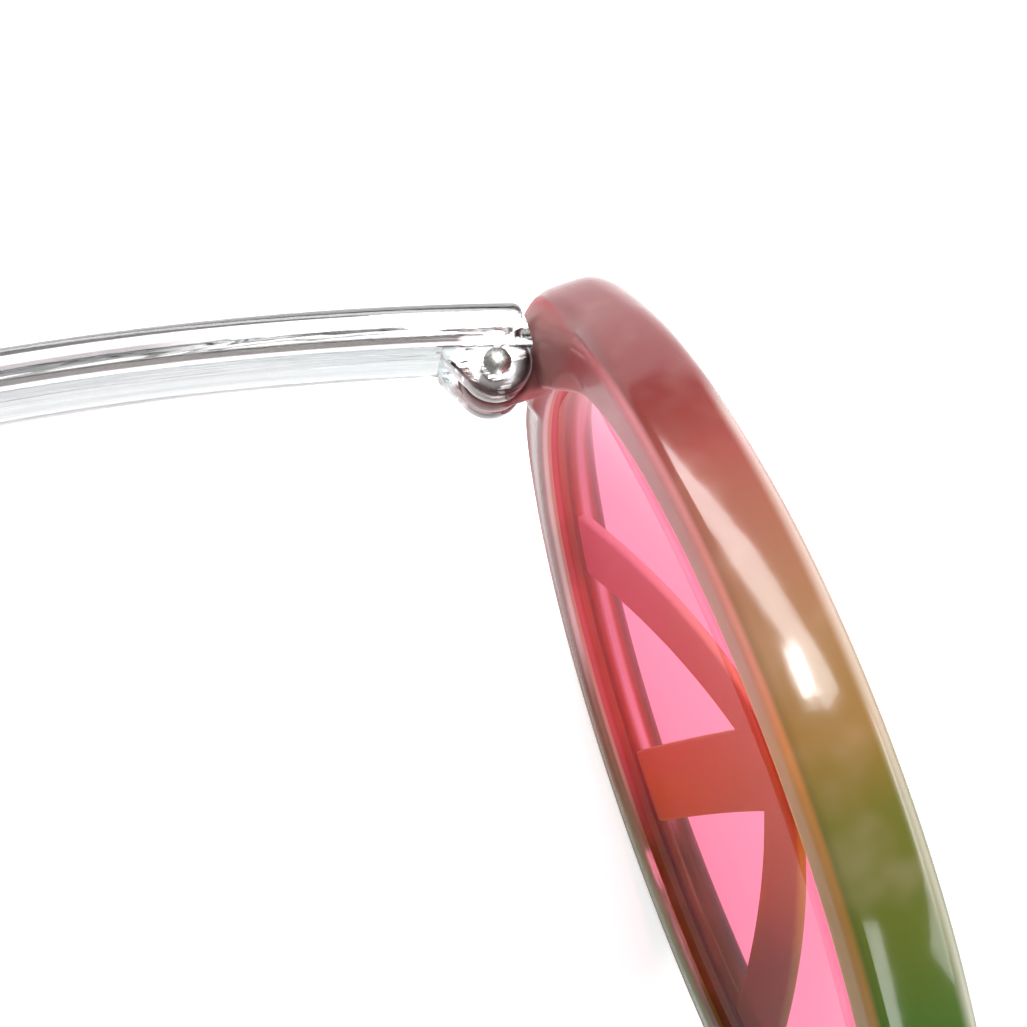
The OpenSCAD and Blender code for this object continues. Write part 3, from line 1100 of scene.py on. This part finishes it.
@dataclass
class Knuckles:
    """The parts of a hinge: three knuckles, the arm and web that carry them, the pin and its bores."""

    barrel_r: float = BARREL_R
    height: float = 2.3
    gap: float = 0.1
    pin_r: float = PIN_R
    loose: float = 0.05
    tight: float = 0.01
    butt: float = 2.15
    joint: float = 2.25
    sunk: float = 0.9
    chamfer: float = 0.15

    @property
    def half(self) -> float:
        """Half the height of the whole barrel."""
        return 1.5 * self.height + self.gap

    def arm(self) -> Shell:
        """The arm from the end piece to the middle knuckle: a rounded section carried along Y.

        Returns:
            The closed surface.
        """
        y = np.linspace(-self.joint - self.sunk, -0.05, 12)
        half = self.height / 2
        loop = rounded_box(-0.96 * self.barrel_r, 0.6 * self.barrel_r, -half, half, 0.3)[0]
        x, z = loop[:, 0][None, :], loop[:, 1][None, :]
        return Shell(np.stack([x + 0 * y[:, None], y[:, None] + 0 * x, z + 0 * y[:, None]], -1))

    def web(self, low: float) -> Shell:
        """The web that ties one of the temple's knuckles to its bar.

        Args:
            low: height of its lower face.

        Returns:
            A prism over a sloped outline, with a small chamfer above and below.
        """
        r, high = self.barrel_r, low + self.height
        outline = np.array([[0, -0.8 * r], [2.02, -0.8 * r], [2.45, 2.85], [1.1, 2.85], [-0.45 * r, 0.86 * r]])
        middle = outline.mean(0)
        rows = []
        for z, share in ((low, 0.9), (low + self.chamfer, 1.0), (high - self.chamfer, 1.0), (high, 0.9)):
            ring = middle + (outline - middle) * share
            rows.append(np.column_stack([ring, np.full(len(ring), z)]))
        return Shell(np.array(rows))


@dataclass
class FrontMoulding:
    """The front, moulded in one piece: rims, bars, bridge, nose pads, end pieces and middle knuckles."""

    rim: Rim = field(default_factory=Rim)
    sign: PeaceSign = field(default_factory=PeaceSign)
    pad: NosePad = field(default_factory=NosePad)
    bridge: Bridge = field(default_factory=Bridge)
    knuckles: Knuckles = field(default_factory=Knuckles)
    hole_r: float = 28.2
    hole_ends: Pair = (-9.0, 3.0)

    def build(self, material: bpy.types.Material) -> bpy.types.Object:
        """Builds the front and puts it in place of the CAD node.

        The bridge comes first and is cut by a hole inside each rim, so that its ends stay in the rims.

        Args:
            material: its plastic.

        Returns:
            The piece.
        """
        k = self.knuckles
        hole = turned(np.array([[self.hole_r, end] for end in self.hole_ends]), 160)
        middle = round_bar(k.barrel_r, -k.height / 2, k.height / 2, 0.3)
        bore = round_bar(k.pin_r + k.loose, -3, 3, 0.1)
        front = self.bridge.surface().build("front_moulding", at_row)
        steps = [("DIFFERENCE", hole.build("hole", at_rim(side))) for side in Side]
        for side in Side:
            rim, hinge = at_rim(side), at_hinge(side)
            on_rim = (self.rim.surface(), *self.sign.surfaces(), self.pad.surface())
            steps += [("UNION", shell.build("part", rim)) for shell in on_rim]
            steps += [("UNION", shell.build("part", hinge)) for shell in (k.arm(), middle)]
            steps.append(("DIFFERENCE", bore.build("bore", hinge)))
        combine(front, steps)
        dress(front, 38, material)
        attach(front, "front")
        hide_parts("front_frame")
        return front


@dataclass
class Lens:
    """A thin curved sheet, held in the rim's groove."""

    curve_r: float = CURVE_R
    radius: float = 26.66
    thick: float = 1.1
    clear: float = 0.12
    edge: float = 0.12

    def build(self, side: Side, material: bpy.types.Material) -> bpy.types.Object:
        """Builds one lens: two parts of spheres and a rounded edge, turned about the lens's axis.

        Args:
            side: which rim holds it.
            material: its tint.

        Returns:
            The piece.
        """
        r = np.concatenate([[0.02], np.linspace(1.5, self.radius - self.edge, 36)])
        front_r, back_r = self.curve_r - self.clear, self.curve_r - self.clear - self.thick
        front = np.column_stack([r, -self.clear - sag(front_r, r)])
        back = np.column_stack([r, -self.clear - self.thick - sag(back_r, r)])[::-1]
        a = np.radians(np.linspace(75, -75, 5))
        middle = (front[-1, 1] + back[0, 1]) / 2
        rim = np.column_stack([self.radius - self.edge + self.edge * np.cos(a),
                               middle + self.thick / 2 * np.sin(a)])
        profile = np.concatenate([front, rim, back])
        piece = turned(profile, 144).build(f"{side.label}_lens_sheet", at_rim(side))
        dress(piece, 40, material)
        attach(piece, "front")
        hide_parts(f"{side.label}_lens")
        return piece


@dataclass
class Temple:
    """A clear temple: a rounded section carried back from the hinge, over the ear and down to its tip."""

    thick: float = TEMPLE_THICK
    high: float = 9.2
    waist: float = 6.5
    tip_high: float = 8.0
    run: float = 86.0
    bend_r: float = 30.0
    bend: float = math.radians(42.0)
    splay: float = SPLAY
    bow_run: float = BOW_RUN
    toe: float = math.radians(5.0)
    edge: float = 0.6
    tip_run: float = 32.4217
    inset: float = TEMPLE_INSET
    corner: float = 0.55
    start: float = -1.79
    slit_clear: float = 0.095
    slit_share: float = 0.8
    knuckles: Knuckles = field(default_factory=Knuckles)

    def side_path(self, s: Array) -> tuple[Array, Array, Array]:
        """Distance back, height and pitch: straight, then a circle round the ear, then straight down.

        Args:
            s: distances along the bar.

        Returns:
            The distance back and the height in mm, and the pitch in radians.
        """
        bend_len = self.bend_r * self.bend
        a = np.clip((s - self.run) / self.bend_r, 0, self.bend)
        t = np.maximum(s - self.run - bend_len, 0)
        y = np.minimum(s, self.run) + self.bend_r * np.sin(a) + t * math.cos(self.bend)
        z = -self.bend_r * (1 - np.cos(a)) - t * math.sin(self.bend)
        return y, z, a

    def bow(self, y: Array) -> tuple[Array, Array]:
        """Distance out and heading: a parabola out from the hinge, then a wider one in to the tip.

        Args:
            y: distances back.

        Returns:
            The distance out in mm and the heading in radians.
        """
        tip_y = self.run + self.bend_r * math.sin(self.bend) + self.tip_run * math.cos(self.bend)
        out, back = math.tan(self.splay), math.tan(self.toe)
        toe_run = tip_y - self.bow_run
        near = np.minimum(y, self.bow_run)
        far = np.maximum(y - self.bow_run, 0)
        x = out * (near - near ** 2 / (2 * self.bow_run)) - back * far ** 2 / (2 * toe_run)
        slope = np.where(y < self.bow_run, out * (1 - y / self.bow_run), -back * far / toe_run)
        return x, np.arctan(slope)

    def height_at(self, s: Array, length: float) -> Array:
        """Height of the section: full by the hinge, a waist before the ear and wider at the tip.

        Args:
            s: distances along the bar.
            length: the bar's length without its round tip.

        Returns:
            The height at each distance.
        """
        first = self.high + (self.waist - self.high) * ease((s - self.run / 2) / (self.run / 2))
        last = self.waist + (self.tip_high - self.waist) * ease((s - self.run) / (length - self.run))
        return np.where(s < self.run, first, last)

    def surface(self) -> Shell:
        """The whole bar, with the rounded outer corner at the joint and a round tip.

        Returns:
            The closed surface.
        """
        length = self.run + self.bend_r * self.bend + self.tip_run
        t = self.corner * (1 - np.cos(np.radians(np.linspace(0, 80, 9))))
        s = np.concatenate([[self.start - 2], self.start + t,
                            np.linspace(self.start + self.corner, self.run, 60)[1:],
                            np.linspace(self.run, length, 50)[1:]])
        into = np.clip(s - self.start, 0, self.corner)
        cut = self.corner - np.sqrt(self.corner ** 2 - (self.corner - into) ** 2)
        half_h = self.height_at(s, length) / 2
        half_t = np.full_like(s, self.thick / 2)
        end = np.radians(np.concatenate([np.linspace(8, 80, 12), [85, 88.5]]))
        s = np.concatenate([s, length + self.tip_high / 2 * np.sin(end)])
        half_h = np.concatenate([half_h, self.tip_high / 2 * np.cos(end)])
        half_t = np.concatenate([half_t, self.thick / 2 * (0.3 + 0.7 * np.sqrt(np.cos(end)))])
        cut = np.concatenate([cut, 0 * end])
        r = np.minimum(self.edge, 0.9 * np.minimum(half_h, half_t))
        loop = rounded_box(-half_t, half_t - cut, -half_h, half_h, r, 7, 2)
        y, z, pitch = self.side_path(s)
        x, heading = self.bow(y)
        x = x + (self.inset + self.thick / 2) / math.cos(self.splay)
        ch, sh, cp, sp = (q[:, None] for q in (np.cos(heading), np.sin(heading), np.cos(pitch), np.sin(pitch)))
        a, b = loop[..., 0], loop[..., 1]
        return Shell(np.stack([x[:, None] + a * ch + b * sh * sp, y[:, None] - a * sh + b * ch * sp,
                               z[:, None] + b * cp], -1))

    def build(self, side: Side, material: bpy.types.Material) -> bpy.types.Object:
        """Builds one temple with its two knuckles and puts it in place of the CAD node.

        Args:
            side: which hinge carries it.
            material: its plastic.

        Returns:
            The piece.
        """
        k = self.knuckles
        hinge = at_hinge(side)
        piece = self.surface().build(f"{side.label}_temple_bar", at_hinge(side, turned=False))
        slit = k.height / 2 + self.slit_clear
        slot = self.slit_share * (k.barrel_r + k.gap)
        cuts = (block((-12, 12), (-20, -k.butt), (-12, 12)), round_bar(k.barrel_r + k.gap, -slit, slit, 0.02),
                block((-slot, slot), (-20, 0), (-slit, slit)))
        steps = [("DIFFERENCE", cut.build("cut", hinge)) for cut in cuts]
        for low in (k.half - k.height, -k.half):
            knuckle = round_bar(k.barrel_r, low, low + k.height, 0.35)
            steps += [("UNION", shell.build("part", hinge)) for shell in (knuckle, k.web(low))]
        steps.append(("DIFFERENCE", round_bar(k.pin_r + k.tight, -6, 6, 0.1).build("bore", hinge)))
        combine(piece, steps)
        dress(piece, 32, material)
        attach(piece, f"{side.label}_temple_arm")
        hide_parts(f"{side.label}_temple")
        return piece


@dataclass
class HingePin:
    """The steel pin, with a low round end above and below."""

    radius: float = PIN_R
    half: float = 3.55
    proud: float = 0.2

    def build(self, side: Side, material: bpy.types.Material) -> bpy.types.Object:
        """Builds one pin: a profile of radius and height turned about the hinge's axis.

        Args:
            side: which hinge it holds.
            material: its steel.

        Returns:
            The piece.
        """
        big = (self.radius ** 2 + self.proud ** 2) / (2 * self.proud)
        r = np.linspace(self.radius, 0.02, 10)
        cap = self.half + self.proud - big + np.sqrt(big ** 2 - r ** 2)
        top = np.column_stack([r, cap])
        profile = np.concatenate([top[::-1], top * [1, -1]])
        piece = turned(profile, 48).build(f"{side.label}_pin", at_hinge(side))
        dress(piece, 50, material)
        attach(piece, f"{side.label}_temple_arm")
        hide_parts(f"{side.label}_hinge_pin")
        return piece


# Camera, lamps and floor


@dataclass(frozen=True)
class Lamp:
    """A soft rectangular lamp.

    Args:
        name: its name.
        at: its place in metres.
        aim: the point that it faces.
        along: the direction of its first side.
        size: its two sides in metres.
        power: its power in watts.
    """

    name: str
    at: Triple
    aim: Triple
    along: Triple
    size: Pair
    power: float

    def build(self) -> None:
        """Adds the lamp, with its own Z turned away from the point that it faces."""
        data = bpy.data.lights.new(self.name, "AREA")
        data.shape = "RECTANGLE"
        data.size, data.size_y = self.size
        data.energy = self.power
        z = (Vector(self.at) - Vector(self.aim)).normalized()
        y = z.cross(Vector(self.along)).normalized()
        turn = Matrix((y.cross(z), y, z)).transposed().to_4x4()
        add_object(self.name, data).matrix_world = Matrix.Translation(Vector(self.at)) @ turn


FOCUS: Triple = (0.05, -0.07, 0.04)
HINGE_TOP: Triple = (0.0635, -0.06, 0.037)


@dataclass
class Studio:
    """A pale floor, a pale sky, soft lamps and the camera at the photograph's place."""

    camera_mm: Triple = (42.422, -47.802, 132.724)
    right: Triple = (-0.21623, -0.97243, 0.08728)
    up: Triple = (0.96818, -0.20203, 0.14767)
    back: Triple = (-0.12596, 0.11644, 0.98518)
    lens_mm: float = 59.993
    sensor_mm: float = 36.0
    lamps: tuple[Lamp, ...] = (
        Lamp("tall_left", (0.42, -0.09, 0.40), FOCUS, (0.58, 0.63, -1.02), (0.70, 0.12), 3.4),
        Lamp("window_front", (-0.08, -0.45, 0.37), FOCUS, (1.0, -0.4, 0.0), (0.47, 0.14), 1.25),
        Lamp("overhead", (0.158, -0.109, 0.42), HINGE_TOP, (1.0, 0.0, 0.0), (0.030, 0.026), 0.047),
        Lamp("overhead_rim", (0.188, -0.115, 0.42), HINGE_TOP, (1.0, 0.0, 0.0), (0.075, 0.06), 0.5),
        Lamp("strip_inside", (-0.36, -0.08, 0.30), FOCUS, (0.5, 0.0, 0.8), (0.50, 0.09), 1.1))
    floor_half: float = 3.0
    floor_tone: Triple = (0.92, 0.92, 0.92)
    floor_shaded: Triple = (0.6, 0.6, 0.6)
    floor_glow: tuple[Triple, Triple] = ((1.0, 1.0, 1.0), (1.7, 1.7, 1.7))
    sky: Stops = ((0.0, (0.62, 0.62, 0.62)), (0.25, (0.58, 0.58, 0.58)),
                  (0.6, (0.42, 0.42, 0.43)), (1.0, (0.30, 0.30, 0.31)))
    sky_seen: Triple = (1.1, 1.1, 1.1)
    sky_strength: float = 0.9

    def camera(self) -> None:
        """Puts the camera where the photograph was taken from."""
        data = bpy.data.cameras.new("camera")
        data.sensor_fit = "HORIZONTAL"
        data.sensor_width = self.sensor_mm
        data.lens = self.lens_mm
        data.clip_start = 0.005
        obj = add_object("camera", data)
        turn = Matrix((self.right, self.up, self.back)).transposed().to_4x4()
        obj.matrix_world = Matrix.Translation(Vector(self.camera_mm) * MM) @ turn
        bpy.context.scene.camera = obj

    def floor(self) -> None:
        """Adds the floor, pale enough to be white where nothing shades it."""
        half = self.floor_half
        mesh = bpy.data.meshes.new("floor")
        mesh.from_pydata([(-half, -half, 0), (half, -half, 0), (half, half, 0), (-half, half, 0)], [],
                         [(0, 1, 2, 3)])
        obj = add_object("floor", mesh)
        g = Graph("floor")
        rays = g.tree.nodes.new("ShaderNodeLightPath").outputs
        g.set(Base_Color=self.floor_tone, Roughness=0.9, Specular_IOR_Level=0.0,
              Emission_Color=g.mix(rays["Is Camera Ray"], *self.floor_glow), Emission_Strength=0.3)
        seen = g.math("MAXIMUM", rays["Is Camera Ray"], rays["Is Transmission Ray"])
        seen = g.math("MAXIMUM", seen, g.math("MULTIPLY", rays["Is Glossy Ray"], 0.6))
        g.blend(1.0 - seen, Base_Color=self.floor_shaded, Roughness=0.9, Specular_IOR_Level=0.0)
        mesh.materials.append(g.material)

    def world(self) -> None:
        """Sets a sky that is white where it is seen, and for other light pale low down and darker overhead."""
        world = bpy.data.worlds.new("studio")
        bpy.context.scene.world = world
        world.use_nodes = True
        g = Nodes(world.node_tree)
        place = g.tree.nodes.new("ShaderNodeTexCoord").outputs["Generated"]
        height = g.node("ShaderNodeSeparateXYZ", {}, {0: place}).outputs[2]
        rays = g.tree.nodes.new("ShaderNodeLightPath").outputs
        seen = g.math("MAXIMUM", rays["Is Camera Ray"], rays["Is Transmission Ray"])
        colour = g.mix(seen, g.ramp(height, self.sky), self.sky_seen)
        light = g.node("ShaderNodeBackground", {}, {"Color": colour, "Strength": self.sky_strength})
        g.node("ShaderNodeOutputWorld", {}, {"Surface": light.outputs[0]})

    def build(self) -> None:
        """Builds the camera, the floor, the sky and the lamps."""
        self.camera()
        self.floor()
        self.world()
        for lamp in self.lamps:
            lamp.build()
        bpy.context.scene.view_settings.view_transform = "Standard"


def main() -> None:
    logging.basicConfig(level=logging.INFO, format="%(name)s: %(message)s")
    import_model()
    pieces = [FrontMoulding().build(FrontPlastic().make())]
    tint, clear, steel = LensTint().make(), ClearPlastic().make(), PinSteel().make()
    for side in Side:
        pieces += [Lens().build(side, tint), Temple().build(side, clear), HingePin().build(side, steel)]
    for piece in pieces:
        log.info("%s: %d faces", piece.name, len(piece.data.polygons))
    Studio().build()


if __name__ == "__main__":
    main()
